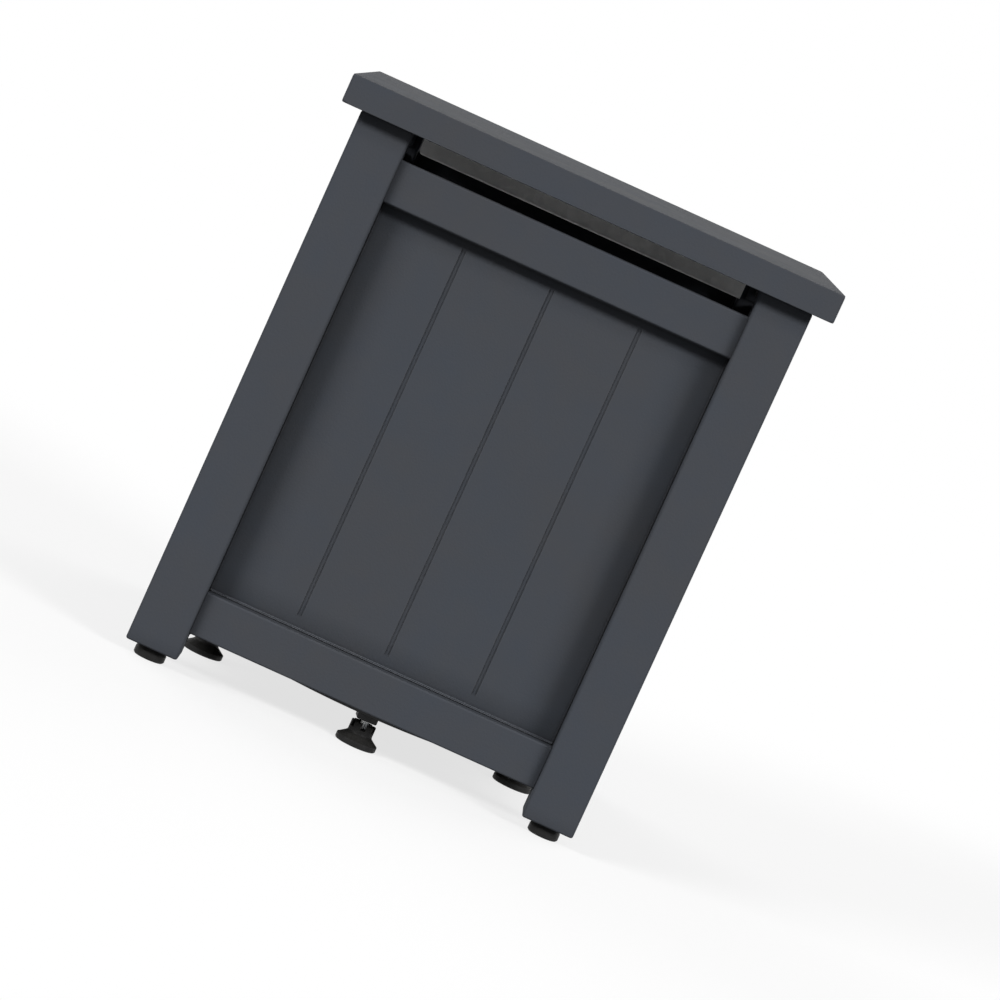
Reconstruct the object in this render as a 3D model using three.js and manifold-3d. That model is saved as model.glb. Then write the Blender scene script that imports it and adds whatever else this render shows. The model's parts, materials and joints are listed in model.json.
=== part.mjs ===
// Square outdoor side table that lifts off as one piece, over a low round stand with four levelling feet.
// Lengths are in millimetres and angles in radians. +Z is up, the front faces -Y, and the origin is on the
// floor under the middle of the table. The table stands on its own four feet, around the stand.

import * as THREE from 'three';
import { mergeVertices } from 'three/addons/utils/BufferGeometryUtils.js';
import Module from 'manifold-3d';

// Whole table
const tableHeight = 564.6;
const fitGap = 0.3; // between two pieces that bear on each other
const cutOverrun = 1; // how far a cut runs past the face that it opens

// Tabletop, a folded sheet tray that is open below
const topWidth = 484;
const topThickness = 27.4;
const topSheet = 0.8;
const topCornerRadius = 3;
const topEdgeRadius = 0.9;
const topLip = 93;
const topOverhang = 19;

// Hat channel that stiffens the tabletop
const channelDepth = 21.6;
const channelWidth = 40;
const channelFlange = 12;
const channelSheet = 1.2;
const channelBend = 2.5;
const channelSeat = 17; // how far each end reaches under the tabletop's lip

// Legs, square tube with a welded end plate
const legWidth = 50.8;
const legWall = 1;
const legCornerRadius = 3;
const legEdgeRadius = 1.8;
const legEndPlate = 3;

// Rails, rectangular tube
const railDepth = 22;
const railWall = 0.8;
const railCornerRadius = 2;
const railSetback = 8;
const upperRailHeight = 41.1;
const lowerRailHeight = 41.5;
const gripSlotHeight = 26.8;
const lowerRailRise = 26.4; // from the legs' lower ends

// Side panels, pressed sheet pans that open forwards, with flat-bottomed grooves between their boards
const panelRecess = 20; // from the rails' front
const panelFootGap = 0.6; // to the lower rail
const panelSheet = 0.7;
const panelFlange = 6;
const panelCornerRadius = 1.4;
const panelBend = 1;
const boardCount = 4;
const boardPitch = 87.5;
const grooveWidth = 4.6; // at its mouth
const grooveFloor = 3.2;
const grooveDepth = 1.2;
const grooveTopStop = 9.4; // from the panel's upper edge
const grooveFootStop = 10.9; // from the panel's lower edge
const grooveRunOut = 2;

// Corner brackets, and the holes for their screws
const bracketWidth = 36;
const bracketClearance = 1.2; // over the rail beside it
const bracketSheet = 2.5;
const bracketBend = 3;
const screwRadius = 2.2;
const screwClearance = 0.3;
const screwSpacing = 18;
const screwPlaceShare = 0.6; // of a bracket's leg, from its corner

// Threads are plain cylinders here
const studRadius = 4;
const studChamfer = 0.7;
const studClearance = 0.3;
const nutWidth = 13;
const nutHeight = 6.5;

// Levelling feet of the table
const tableFootHeight = 12;
const tableFootRadius = 15;
const tableFootChamfer = 1.5;
const tableFootTaper = 2;
const tableFootRim = 7;
const tableFootSocket = 6;
const tableStudLength = 40;

// Stand, flat bar rolled on edge
const barHeight = 25;
const barThickness = 4;
const barCornerRadius = 0.8;
const standRise = 31; // from the floor to the underside of the bars
const spokeLength = 65.9;
const crossTurn = THREE.MathUtils.degToRad(7);
const restTabLength = 26;
const restTabWidth = 25;
const restTabRadius = 8;

// Lugs that the stand's feet screw through
const lugWidth = 20;
const lugHeight = 16;
const lugDrop = 6; // below the bars
const lugCornerRadius = 2;
const lugEdgeRadius = 0.8;

// Levelling feet of the stand
const padRadius = 20;
const padRim = 5;
const padChamfer = 1;
const padConeHeight = 11;
const padHubRadius = 12;
const padHeight = 22;
const padCupRadius = 8;
const padCupDepth = 5;
const padSocketDepth = 8;
const padNotches = 6;
const padNotchWidth = 4.5;
const padNotchDepth = 6;
const standStudRise = 2; // above the bars

// Wing bolt and the nut that it screws through
const boltSetback = 1; // of its tip, inside the collar's wall
const bossWidth = 14;
const bossLength = 8;
const boltGripLength = 15;
const wingHubRadius = 5.5;
const wingHubLength = 9;
const wingRadius = 8.5;
const wingHoleRadius = 4.8;
const wingThickness = 3;
const wingSpread = 11; // from the bolt's axis to the middle of a wing
const wingTilt = THREE.MathUtils.degToRad(28);
const wingNarrowShare = 0.85; // of a wing's width to its length
const hubShoulderShare = 0.6; // of the hub's length
const hubTipShare = 0.75; // of the hub's radius

// Short pin on the ring
const pinRadius = 2.5;
const pinLength = 13;
const pinClearance = 2.2; // to the table's rail
const pinRise = 9; // from the ring's underside

// Round shapes are cut into this many sides
const ringSides = 88;
const collarSides = 64;
const padSides = 24;
const roundSides = 16;
const holeSides = 12;
const wingSteps = 6;
const cornerSteps = 2;
const edgeSteps = 2;

// Sizes worked out from those above
const quarterTurn = Math.PI / 2;
const topUnderside = tableHeight - topThickness;
const frameWidth = topWidth - 2 * topOverhang;
const legCentre = (frameWidth - legWidth) / 2;
const legGap = frameWidth - 2 * legWidth;
const legLength = topUnderside - fitGap - tableFootHeight;
const railLength = legGap - 2 * fitGap;
const railFace = frameWidth / 2 - railSetback;
const railBack = railFace - railDepth;
const upperRailTop = topUnderside - gripSlotHeight;
const upperRailBase = upperRailTop - upperRailHeight;
const lowerRailBase = tableFootHeight + lowerRailRise;
const lowerRailTop = lowerRailBase + lowerRailHeight;
const panelWidth = legGap - 2 * fitGap;
const panelHeight = upperRailBase - fitGap - lowerRailTop - panelFootGap;
const grooveSideSlope = (grooveWidth - grooveFloor) / 2 / grooveDepth;
const grooveEndSlope = grooveRunOut / grooveDepth;
const studHole = studRadius + studClearance;
const screwHole = screwRadius + screwClearance;
const bracketLeg = gripSlotHeight - fitGap - bracketClearance;
const screwPlace = bracketLeg * screwPlaceShare;
const ringRadius = railBack - pinClearance - pinLength - fitGap;
const ringBore = ringRadius - barThickness;
const collarRadius = ringBore - spokeLength - 2 * fitGap;
const collarBore = collarRadius - barThickness;
const standTop = standRise + barHeight;

const slate = new THREE.MeshStandardMaterial({ color: 0x4b4d53, roughness: 0.55, metalness: 0.1 });
const slateDark = new THREE.MeshStandardMaterial({ color: 0x46484e, roughness: 0.6, metalness: 0.1 });
const galvanised = new THREE.MeshStandardMaterial({ color: 0xa4a6a6, roughness: 0.45, metalness: 0.8 });
const blackSteel = new THREE.MeshStandardMaterial({ color: 0x222223, roughness: 0.5, metalness: 0.2 });
const blackPlastic = new THREE.MeshStandardMaterial({ color: 0x1a1a1b, roughness: 0.65, metalness: 0 });
const zinc = new THREE.MeshStandardMaterial({ color: 0xc3c6c8, roughness: 0.35, metalness: 0.9 });

const wasm = await Module();
wasm.setup();

// A closed mesh as a solid that can be joined and cut.
function solidOf(geometry) {
  const bare = geometry.clone();
  bare.deleteAttribute('normal');
  bare.deleteAttribute('uv');
  const merged = mergeVertices(bare);
  return new wasm.Manifold(new wasm.Mesh({
    numProp: 3,
    vertProperties: new Float32Array(merged.attributes.position.array),
    triVerts: new Uint32Array(merged.index.array),
  }));
}

// The finished solid as a geometry with flat faces.
function geometryOf(solid) {
  const { vertProperties, triVerts } = solid.getMesh();
  const geometry = new THREE.BufferGeometry();
  geometry.setAttribute('position', new THREE.BufferAttribute(vertProperties, 3));
  geometry.setIndex(new THREE.BufferAttribute(triVerts, 1));
  const flat = geometry.toNonIndexed();
  flat.computeVertexNormals();
  return flat;
}

// The body with each added piece joined on, and then each cut taken away.
function shaped(body, { added = [], cuts = [] }) {
  let solid = solidOf(body);
  for (const piece of added) solid = solid.add(solidOf(piece));
  for (const piece of cuts) solid = solid.subtract(solidOf(piece));
  return geometryOf(solid);
}

function roundedRectangle(width, height, radius, Outline = THREE.Shape) {
  const x = width / 2 - radius;
  const y = height / 2 - radius;
  const outline = new Outline();
  outline.moveTo(-x, -y - radius);
  outline.lineTo(x, -y - radius);
  outline.absarc(x, -y, radius, -quarterTurn, 0);
  outline.lineTo(x + radius, y);
  outline.absarc(x, y, radius, 0, quarterTurn);
  outline.lineTo(-x, y + radius);
  outline.absarc(-x, y, radius, quarterTurn, Math.PI);
  outline.lineTo(-x - radius, -y);
  outline.absarc(-x, -y, radius, Math.PI, 3 * quarterTurn);
  return outline;
}

// An outline carried along +Z from zero.
function prism(outline, length, steps = cornerSteps) {
  return new THREE.ExtrudeGeometry(outline, { depth: length, bevelEnabled: false, curveSegments: steps });
}

// A bar along +Z with rounded corners, whose two ends have rounded edges too.
function roundedBar(width, height, length, cornerRadius, edgeRadius, steps = edgeSteps) {
  const bar = new THREE.ExtrudeGeometry(roundedRectangle(width, height, cornerRadius), {
    depth: length - 2 * edgeRadius,
    bevelThickness: edgeRadius,
    bevelSize: edgeRadius,
    bevelOffset: -edgeRadius,
    bevelSegments: steps,
    curveSegments: cornerSteps,
  });
  return bar.translate(0, 0, edgeRadius);
}

// A tube along +Z with rounded corners and open ends.
function rectangularTube(width, height, length, cornerRadius, wall) {
  const outline = roundedRectangle(width, height, cornerRadius);
  const inside = roundedRectangle(width - 2 * wall, height - 2 * wall, cornerRadius - wall, THREE.Path);
  outline.holes.push(inside);
  return prism(outline, length);
}

// A cylinder along +Z from zero, used for holes.
function drill(radius, length, sides = holeSides) {
  return new THREE.CylinderGeometry(radius, radius, length, sides).rotateX(quarterTurn)
    .translate(0, 0, length / 2);
}

// A profile of [radius, height] points turned about Z.
function turned(profile, sides) {
  const points = profile.map(([radius, height]) => new THREE.Vector2(radius, height));
  return new THREE.LatheGeometry(points, sides).rotateX(quarterTurn);
}

// A hexagonal nut along +Z from zero, around a stud.
function hexNut(width, height) {
  const body = new THREE.CylinderGeometry(width / Math.sqrt(3), width / Math.sqrt(3), height, 6)
    .rotateX(quarterTurn).translate(0, 0, height / 2);
  const bore = drill(studHole, height + 2 * cutOverrun).translate(0, 0, -cutOverrun);
  return shaped(body, { cuts: [bore] });
}

// A threaded stud along +Z from zero, with chamfered ends.
function stud(length) {
  const tip = studRadius - studChamfer;
  const profile = [[0, 0], [tip, 0], [studRadius, studChamfer], [studRadius, length - studChamfer],
    [tip, length], [0, length]];
  return turned(profile, roundSides);
}

function screwPlaces() {
  return [-screwSpacing / 2, screwSpacing / 2];
}

// Where the brackets' upright screws pass through the tabletop's lip, for one pair of legs.
function lipScrewPlaces() {
  const y = -legCentre + legWidth / 2 + fitGap + screwPlace;
  return [-legCentre, legCentre].flatMap((x) => screwPlaces().map((offset) => [x + offset, y]));
}

function makeTabletop() {
  const body = roundedBar(topWidth, topWidth, topThickness, topCornerRadius, topEdgeRadius);
  const inside = topWidth - 2 * topSheet;
  const tray = new THREE.BoxGeometry(inside, inside, topThickness - 2 * topSheet)
    .translate(0, 0, topThickness / 2);
  const mouthWidth = topWidth - 2 * topLip;
  const mouth = new THREE.BoxGeometry(mouthWidth, mouthWidth, topThickness);
  const holes = [0, Math.PI].flatMap((turn) => lipScrewPlaces().map(([x, y]) => (
    drill(screwHole, topThickness / 2).translate(x, y, -cutOverrun).rotateZ(turn)
  )));
  return shaped(body, { cuts: [tray, mouth, ...holes] });
}

// The channel runs along X, with its flanges level with zero and its web below them.
function makeChannel() {
  const half = channelWidth / 2;
  const inner = half - channelSheet;
  const web = -channelDepth;
  const section = new THREE.Shape();
  section.moveTo(-half - channelFlange, 0);
  section.lineTo(-half - channelFlange, -channelSheet);
  section.lineTo(-half, -channelSheet);
  section.lineTo(-half, web + channelBend);
  section.absarc(-half + channelBend, web + channelBend, channelBend, Math.PI, 3 * quarterTurn);
  section.lineTo(half - channelBend, web);
  section.absarc(half - channelBend, web + channelBend, channelBend, -quarterTurn, 0);
  section.lineTo(half, -channelSheet);
  section.lineTo(half + channelFlange, -channelSheet);
  section.lineTo(half + channelFlange, 0);
  section.lineTo(inner, 0);
  section.lineTo(inner, web + channelSheet);
  section.lineTo(-inner, web + channelSheet);
  section.lineTo(-inner, 0);
  const length = topWidth - 2 * topLip + 2 * channelSeat;
  return prism(section, length).translate(0, 0, -length / 2).rotateX(quarterTurn).rotateZ(quarterTurn);
}

// A leg stands along +Z from zero. Its bracket is on the face towards +Y.
function makeLeg() {
  const body = roundedBar(legWidth, legWidth, legLength, legCornerRadius, legEdgeRadius);
  const bore = legWidth - 2 * legWall;
  const hollow = prism(roundedRectangle(bore, bore, legCornerRadius - legWall), legLength)
    .translate(0, 0, legEndPlate);
  const studPassage = drill(studHole, legEndPlate + 2 * cutOverrun).translate(0, 0, -cutOverrun);
  const screwHoles = screwPlaces().map((offset) => (
    drill(screwHole, legWall + 2 * cutOverrun).rotateX(-quarterTurn)
      .translate(offset, legWidth / 2 - legWall - cutOverrun, legLength - screwPlace)
  ));
  return shaped(body, { cuts: [hollow, studPassage, ...screwHoles] });
}

// A rail lies along X with its front face at zero and its underside at zero.
function makeRail(height) {
  return rectangularTube(height, railDepth, railLength, railCornerRadius, railWall)
    .rotateY(quarterTurn).translate(-railLength / 2, railDepth / 2, height / 2);
}

// A long bead with sloping sides and ends, pointing towards +Y. Its mouth, at zero, is width by length. It
// starts a little before the mouth where lead is positive, and past it where lead is negative.
function pressedBead(width, length, depth, lead) {
  const level = (y) => {
    const x = width / 2 - grooveSideSlope * y;
    const z = length / 2 - grooveEndSlope * y;
    return [[-x, y, -z], [x, y, -z], [x, y, z], [-x, y, z]];
  };
  const corners = [...level(-lead), ...level(depth)];
  const bead = new THREE.BufferGeometry();
  bead.setAttribute('position', new THREE.Float32BufferAttribute(corners.flat(), 3));
  bead.setIndex([0, 1, 2, 0, 2, 3, 4, 6, 5, 4, 7, 6, 0, 4, 5, 0, 5, 1, 1, 5, 6, 1, 6, 2, 2, 6, 7, 2, 7, 3,
    3, 7, 4, 3, 4, 0]);
  return bead;
}

// A side panel is a pan, centred on X and Z with its face at zero and its flanges standing forward. Each
// groove is pressed in from the front, so that it stands out as a ridge behind.
function makePanel() {
  const outerBend = panelBend + panelSheet;
  const depth = panelFlange + panelSheet;
  const body = roundedBar(panelWidth, panelHeight, depth + outerBend, panelCornerRadius + panelSheet,
    outerBend).rotateX(quarterTurn).translate(0, panelSheet, 0);
  const inside = roundedBar(panelWidth - 2 * panelSheet, panelHeight - 2 * panelSheet, 2 * depth,
    panelCornerRadius, panelBend).rotateX(quarterTurn);
  const front = new THREE.BoxGeometry(panelWidth + 2 * cutOverrun, depth, panelHeight + 2 * cutOverrun)
    .translate(0, -panelFlange - depth / 2, 0);
  const grooveLength = panelHeight - grooveTopStop - grooveFootStop;
  const ridgeWidth = grooveWidth + 2 * panelSheet * Math.hypot(1, grooveSideSlope);
  const ridgeLength = grooveLength + 2 * panelSheet * Math.hypot(1, grooveEndSlope);
  const middle = (grooveFootStop - grooveTopStop) / 2;
  const places = Array.from({ length: boardCount - 1 }, (_, i) => (i + 1 - boardCount / 2) * boardPitch);
  const ridges = places.map((x) => (
    pressedBead(ridgeWidth, ridgeLength, grooveDepth + panelSheet, -panelSheet / 2).translate(x, 0, middle)
  ));
  const grooves = places.map((x) => (
    pressedBead(grooveWidth, grooveLength, grooveDepth, cutOverrun).translate(x, 0, middle)
  ));
  const pan = solidOf(body).subtract(solidOf(inside)).subtract(solidOf(front));
  const ribbed = ridges.reduce((solid, ridge) => solid.add(solidOf(ridge)), pan);
  return geometryOf(grooves.reduce((solid, groove) => solid.subtract(solidOf(groove)), ribbed));
}

// A bracket is an angle along X. Its outer faces lie at zero, against the leg and under the tabletop.
function makeBracket() {
  const section = new THREE.Shape();
  section.moveTo(0, 0);
  section.lineTo(0, -bracketLeg);
  section.lineTo(bracketSheet, -bracketLeg);
  section.lineTo(bracketSheet, -bracketSheet - bracketBend);
  section.absarc(bracketSheet + bracketBend, -bracketSheet - bracketBend, bracketBend,
    Math.PI, quarterTurn, true);
  section.lineTo(bracketLeg, -bracketSheet);
  section.lineTo(bracketLeg, 0);
  const body = prism(section, bracketWidth).translate(0, 0, -bracketWidth / 2)
    .rotateX(quarterTurn).rotateZ(quarterTurn);
  const depth = bracketSheet + 2 * cutOverrun;
  const upright = screwPlaces().map((offset) => (
    drill(screwHole, depth).translate(offset, screwPlace, -bracketSheet - cutOverrun)
  ));
  const level = screwPlaces().map((offset) => (
    drill(screwHole, depth).rotateX(-quarterTurn).translate(offset, -cutOverrun, -screwPlace)
  ));
  return shaped(body, { cuts: [...upright, ...level] });
}

function makeTableFoot() {
  const top = tableFootHeight - fitGap;
  const floor = top - tableFootSocket;
  const profile = [[0, 0], [tableFootRadius - tableFootChamfer, 0], [tableFootRadius, tableFootChamfer],
    [tableFootRadius, tableFootRim], [tableFootRadius - tableFootTaper, top], [studHole, top],
    [studHole, floor], [0, floor]];
  return turned(profile, padSides);
}

function makeRing(radius, sides) {
  const inner = radius - barThickness;
  return turned([[inner, 0], [radius, 0], [radius, barHeight], [inner, barHeight], [inner, 0]], sides);
}

// The middle of the gap between the front and right spokes, where the wing bolt points.
const boltTurn = crossTurn - quarterTurn / 2;

function makeCollar() {
  const passage = drill(studHole, barThickness + 4 * cutOverrun).rotateY(quarterTurn)
    .translate(collarBore - 2 * cutOverrun, 0, barHeight / 2).rotateZ(boltTurn);
  return shaped(makeRing(collarRadius, collarSides), { cuts: [passage] });
}

// A spoke lies along +X from zero, on edge.
function makeSpoke() {
  return prism(roundedRectangle(barHeight, barThickness, barCornerRadius), spokeLength)
    .rotateY(quarterTurn).translate(0, 0, barHeight / 2);
}

// A rest tab lies along +X inside the collar, with its outer corners against the collar's wall.
function makeRestTab() {
  const y = restTabWidth / 2;
  const outer = Math.sqrt((collarBore - fitGap) ** 2 - y ** 2);
  const inner = outer - restTabLength;
  const outline = new THREE.Shape();
  outline.moveTo(outer, -y);
  outline.lineTo(outer, y);
  outline.lineTo(inner + restTabRadius, y);
  outline.absarc(inner + restTabRadius, y - restTabRadius, restTabRadius, quarterTurn, Math.PI);
  outline.lineTo(inner, -y + restTabRadius);
  outline.absarc(inner + restTabRadius, -y + restTabRadius, restTabRadius, Math.PI, 3 * quarterTurn);
  return prism(outline, barThickness);
}

// The lug's side and the radius at which its far corner just clears the ring.
const lugSide = barThickness / 2 + fitGap + lugWidth / 2;
const lugReach = Math.sqrt((ringBore - fitGap) ** 2 - (lugSide + lugWidth / 2) ** 2) - lugWidth / 2;

function makeLug() {
  const body = roundedBar(lugWidth, lugWidth, lugHeight, lugCornerRadius, lugEdgeRadius, 1);
  const bore = drill(studHole, lugHeight + 2 * cutOverrun).translate(0, 0, -cutOverrun);
  return shaped(body, { cuts: [bore] });
}

// A pad is a disc under a hub, whose rim is notched like a castle wall so that it can be turned by hand.
function makeStandPad() {
  const socket = padHeight - padCupDepth - padSocketDepth;
  const profile = [[0, 0], [padRadius - padChamfer, 0], [padRadius, padChamfer], [padRadius, padRim],
    [padRadius - padChamfer, padRim + padChamfer], [padHubRadius, padConeHeight],
    [padHubRadius, padHeight - padChamfer], [padHubRadius - padChamfer, padHeight],
    [padCupRadius, padHeight], [padCupRadius, padHeight - padCupDepth], [studHole, padHeight - padCupDepth],
    [studHole, socket], [0, socket]];
  const notchStart = padCupRadius - cutOverrun;
  const notchReach = padHubRadius + cutOverrun - notchStart;
  const notches = Array.from({ length: padNotches }, (_, i) => (
    new THREE.BoxGeometry(notchReach, padNotchWidth, 2 * padNotchDepth)
      .translate(notchStart + notchReach / 2, 0, padHeight).rotateZ((i / padNotches) * 2 * Math.PI)
  ));
  return shaped(turned(profile, padSides), { cuts: notches });
}

// The bolt lies along +X from its tip, with two looped wings that lean away from the tip.
function makeWingBolt() {
  const hubStart = collarRadius - collarBore + boltSetback + fitGap + bossLength + boltGripLength;
  const shank = stud(hubStart + wingHubLength / 2).rotateY(quarterTurn);
  const hub = turned([[0, 0], [wingHubRadius, 0], [wingHubRadius, wingHubLength * hubShoulderShare],
    [wingHubRadius * hubTipShare, wingHubLength], [0, wingHubLength]], roundSides)
    .rotateY(quarterTurn).translate(hubStart, 0, 0);
  const oval = (Outline, radius) => (
    new Outline().absellipse(0, 0, radius, radius * wingNarrowShare, 0, 2 * Math.PI)
  );
  const loop = oval(THREE.Shape, wingRadius);
  loop.holes.push(oval(THREE.Path, wingHoleRadius));
  const wings = [0, Math.PI].map((turn) => (
    prism(loop, wingThickness, wingSteps).translate(0, 0, -wingThickness / 2)
      .rotateZ(wingTilt).translate((wingHubLength + wingRadius) / 2, wingSpread, 0)
      .rotateX(turn).translate(hubStart, 0, 0)
  ));
  return shaped(shank, { added: [hub, ...wings] });
}

// A round pin along +X from zero, with a domed end.
function makeSidePin() {
  const shoulder = pinLength - pinRadius;
  const dome = [1, 2, 3].map((step) => {
    const angle = (step / 3) * quarterTurn;
    return [pinRadius * Math.cos(angle), shoulder + pinRadius * Math.sin(angle)];
  });
  dome[dome.length - 1][0] = 0;
  return turned([[0, 0], [pinRadius, 0], [pinRadius, shoulder], ...dome], holeSides).rotateY(quarterTurn);
}

function named(name, geometry, material, x = 0, y = 0, z = 0) {
  const mesh = new THREE.Mesh(geometry, material);
  mesh.name = name;
  mesh.position.set(x, y, z);
  return mesh;
}

// One side of the table: two rails and the panel between them, turned from the front.
function makeSide(side, turn) {
  const group = new THREE.Group();
  group.add(named(`upper_rail_${side}`, makeRail(upperRailHeight), slate, 0, -railFace, upperRailBase));
  group.add(named(`lower_rail_${side}`, makeRail(lowerRailHeight), slate, 0, -railFace, lowerRailBase));
  const panelMiddle = lowerRailTop + panelFootGap + panelHeight / 2;
  group.add(named(`side_panel_${side}`, makePanel(), slateDark, 0, panelRecess - railFace, panelMiddle));
  group.rotation.z = turn;
  return group;
}

// Two legs with their brackets and feet, turned from the front.
function makeLegPair(corners, turn) {
  const group = new THREE.Group();
  corners.forEach((corner, i) => {
    const x = i === 0 ? -legCentre : legCentre;
    const bracketFace = legWidth / 2 - legCentre + fitGap;
    group.add(named(`leg_${corner}`, makeLeg(), slate, x, -legCentre, tableFootHeight));
    group.add(named(`corner_bracket_${corner}`, makeBracket(), slate, x, bracketFace,
      topUnderside - fitGap));
    group.add(named(`table_foot_${corner}`, makeTableFoot(), blackPlastic, x, -legCentre, 0));
    group.add(named(`table_stud_${corner}`, stud(tableStudLength), zinc, x, -legCentre,
      tableFootHeight - tableFootSocket));
    group.add(named(`leg_nut_${corner}`, hexNut(nutWidth, nutHeight), zinc, x, -legCentre,
      tableFootHeight + legEndPlate + fitGap));
  });
  group.rotation.z = turn;
  return group;
}

function makeTable() {
  const group = new THREE.Group();
  group.add(named('tabletop', makeTabletop(), slate, 0, 0, topUnderside));
  group.add(named('top_stiffener', makeChannel(), galvanised, 0, 0, topUnderside - fitGap));
  ['front', 'right', 'back', 'left'].forEach((side, i) => group.add(makeSide(side, i * quarterTurn)));
  group.add(makeLegPair(['front_left', 'front_right'], 0));
  group.add(makeLegPair(['back_right', 'back_left'], Math.PI));
  return group;
}

// One arm of the stand along +X: the spoke, its lug and its levelling foot, and the rest tab beside it.
function makeArm(side, lugHand, turn) {
  const group = new THREE.Group();
  const y = lugHand * lugSide;
  const socket = padHeight - padCupDepth - padSocketDepth;
  const studStart = socket + fitGap;
  group.add(named(`spoke_${side}`, makeSpoke(), blackSteel, collarRadius + fitGap, 0, standRise));
  group.add(named(`rest_tab_${side}`, makeRestTab(), blackSteel, 0, 0, standRise));
  group.add(named(`foot_lug_${side}`, makeLug(), blackSteel, lugReach, y, standRise - lugDrop));
  group.add(named(`stand_foot_${side}`, makeStandPad(), blackPlastic, lugReach, y, 0));
  group.add(named(`stand_stud_${side}`, stud(standTop + standStudRise - studStart), zinc, lugReach, y,
    studStart));
  group.rotation.z = turn;
  return group;
}

// The lugs of the front and back arms are on the left, and those of the side arms are in front.
function makeStand() {
  const group = new THREE.Group();
  group.add(named('outer_ring', makeRing(ringRadius, ringSides), blackSteel, 0, 0, standRise));
  group.add(named('collar', makeCollar(), blackSteel, 0, 0, standRise));
  const lugHands = { front: -1, right: -1, back: 1, left: 1 };
  Object.entries(lugHands).forEach(([side, hand], i) => {
    group.add(makeArm(side, hand, crossTurn + (i - 1) * quarterTurn));
  });
  const bolt = new THREE.Group();
  const boss = hexNut(bossWidth, bossLength).rotateY(quarterTurn);
  bolt.add(named('bolt_boss', boss, blackSteel, collarRadius + fitGap, 0, 0));
  bolt.add(named('wing_bolt', makeWingBolt(), zinc, collarBore - boltSetback, 0, 0));
  bolt.position.z = standRise + barHeight / 2;
  bolt.rotation.z = boltTurn;
  group.add(bolt);
  const pin = named('side_pin', makeSidePin(), blackSteel, -ringRadius - fitGap, 0, standRise + pinRise);
  pin.rotation.z = Math.PI;
  group.add(pin);
  return group;
}

const coverTable = new THREE.Group();
coverTable.add(makeTable(), makeStand());

export default coverTable;
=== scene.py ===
import json
import math

import bmesh
import bpy
import numpy as np
from mathutils import Matrix, Vector

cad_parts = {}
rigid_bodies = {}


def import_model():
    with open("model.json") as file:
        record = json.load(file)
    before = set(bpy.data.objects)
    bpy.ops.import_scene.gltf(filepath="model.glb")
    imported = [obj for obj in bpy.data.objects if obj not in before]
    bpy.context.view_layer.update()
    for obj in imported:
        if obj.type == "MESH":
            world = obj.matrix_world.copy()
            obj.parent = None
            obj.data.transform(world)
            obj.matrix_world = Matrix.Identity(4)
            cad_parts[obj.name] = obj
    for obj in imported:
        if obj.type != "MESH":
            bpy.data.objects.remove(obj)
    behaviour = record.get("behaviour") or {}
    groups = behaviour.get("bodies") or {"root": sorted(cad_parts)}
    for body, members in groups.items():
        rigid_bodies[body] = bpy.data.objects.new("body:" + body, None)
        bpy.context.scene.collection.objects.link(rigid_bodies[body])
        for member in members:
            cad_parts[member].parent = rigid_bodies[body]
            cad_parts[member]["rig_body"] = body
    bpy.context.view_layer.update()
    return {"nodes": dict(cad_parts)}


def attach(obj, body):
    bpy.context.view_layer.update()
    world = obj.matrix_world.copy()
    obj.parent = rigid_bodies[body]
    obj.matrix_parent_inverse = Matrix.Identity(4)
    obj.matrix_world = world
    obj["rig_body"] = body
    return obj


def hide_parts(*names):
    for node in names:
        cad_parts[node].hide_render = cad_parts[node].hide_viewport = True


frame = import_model()

# Lengths are metres and angles are degrees. Z is up and the table's front faces -Y.
MM = 0.001
FULL_TURN = 2 * math.pi
CORNERS = ("front_left", "front_right", "back_right", "back_left")
SIDES = ("front", "right", "back", "left")


# Camera, where the reference picture was taken from. Its roll is the picture's tilt of the table.
CAMERA_PLACE = (-0.0400, -4.5834, 0.6767)
CAMERA_YAW = 0.9896
CAMERA_PITCH = -5.3590
CAMERA_ROLL = 24.4342
CAMERA_LENS = 174.26
CAMERA_SENSOR = 36


def add_camera():
    """Looks along (sin yaw cos pitch, cos yaw cos pitch, sin pitch), then rolls about that line."""
    yaw, pitch, roll = (math.radians(a) for a in (CAMERA_YAW, CAMERA_PITCH, CAMERA_ROLL))
    ahead = np.array([math.sin(yaw) * math.cos(pitch), math.cos(yaw) * math.cos(pitch), math.sin(pitch)])
    level = np.cross(ahead, [0, 0, 1])
    level /= np.linalg.norm(level)
    upright = np.cross(level, ahead)
    right = math.cos(roll) * level + math.sin(roll) * upright
    up = math.cos(roll) * upright - math.sin(roll) * level
    camera = bpy.data.objects.new("camera", bpy.data.cameras.new("camera"))
    camera.data.lens = CAMERA_LENS
    camera.data.sensor_width = CAMERA_SENSOR
    turn = Matrix(np.column_stack([right, up, -ahead]).tolist()).to_4x4()
    camera.matrix_world = Matrix.Translation(CAMERA_PLACE) @ turn
    bpy.context.scene.collection.objects.link(camera)
    bpy.context.scene.camera = camera


# Shader tools
def add_node(tree, kind, **settings):
    """A new shader node. Settings whose name starts with in_ set the input of that name."""
    made = tree.nodes.new(kind)
    for key, value in settings.items():
        if key.startswith("in_"):
            made.inputs[key[3:].replace("_", " ")].default_value = value
        else:
            setattr(made, key, value)
    return made


def feed(tree, socket, value):
    """Sets an input to a number or a colour, or links it to the output that is given."""
    if isinstance(value, (int, float, tuple)):
        socket.default_value = value
    else:
        tree.links.new(value, socket)


def add_math(tree, operation, first, second, clamp=False):
    """The result of a Math node. Each of the two values is a socket or a number."""
    made = add_node(tree, "ShaderNodeMath", operation=operation, use_clamp=clamp)
    feed(tree, made.inputs[0], first)
    feed(tree, made.inputs[1], second)
    return made.outputs[0]


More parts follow.
